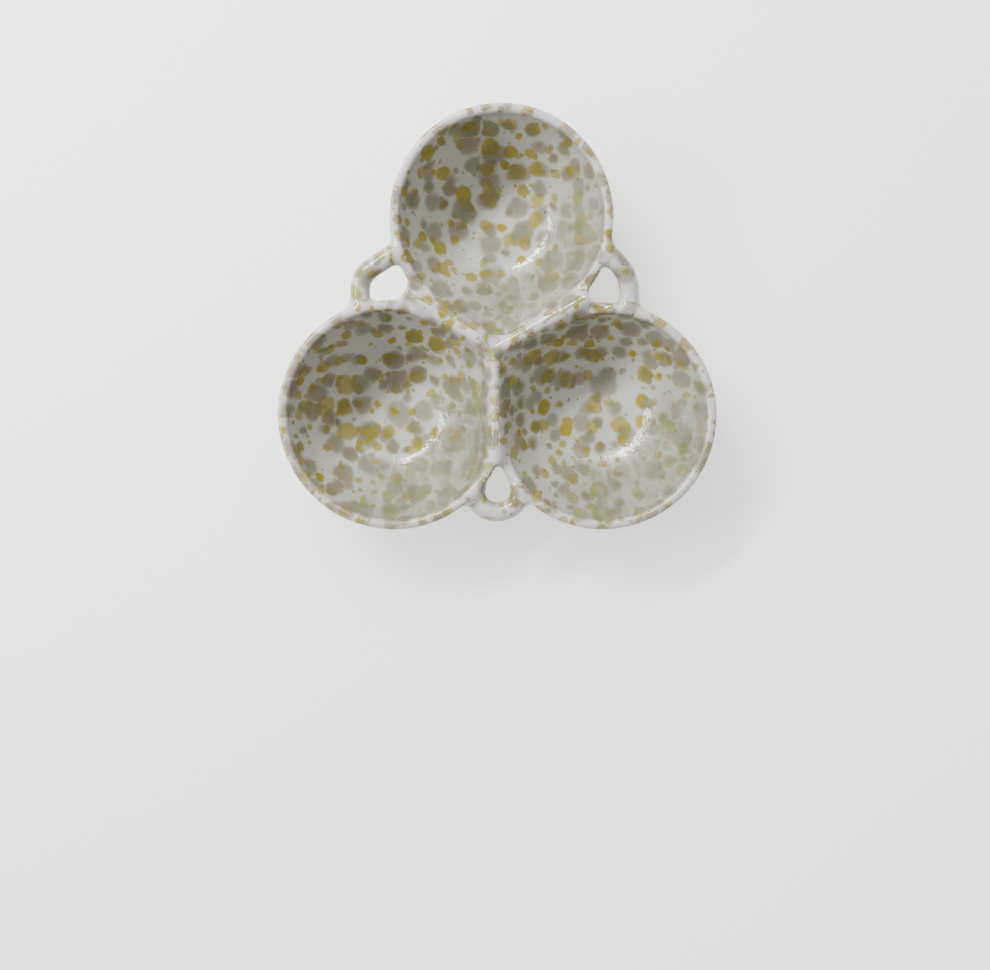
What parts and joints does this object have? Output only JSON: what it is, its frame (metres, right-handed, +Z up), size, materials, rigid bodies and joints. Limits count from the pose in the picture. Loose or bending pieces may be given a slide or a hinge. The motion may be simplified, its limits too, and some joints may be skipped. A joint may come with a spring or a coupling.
{
  "type": "divided serving bowl",
  "caption": "Glazed stoneware serving dish of round bowls luted rim to rim, with small strap handles bridging the outer notches.",
  "frame": {"origin": "on the table plane, under the middle of the whole dish", "axes": "+Z up out of the bowls, +X to the right-hand bowl of the front pair, +Y to the back bowl"},
  "size_m": [0.25, 0.2398, 0.0585],
  "materials": {
    "bowl_glaze": "glossy white glaze with taupe and mustard spatter inside, satin grey-beige outside",
    "seam_glaze": "glossy white glaze over the smoothed joints",
    "handle_glaze": "glossy white glaze with taupe and mustard spatter"
  },
  "bodies": {
    "root": {"bowl_left": "bowl_glaze", "bowl_right": "bowl_glaze", "bowl_back": "bowl_glaze", "seam_left_right": "seam_glaze", "seam_left_back": "seam_glaze", "seam_right_back": "seam_glaze", "hub_web": "seam_glaze", "handle_left": "handle_glaze", "handle_right": "handle_glaze", "handle_front": "handle_glaze"}
  },
  "joints": []
}
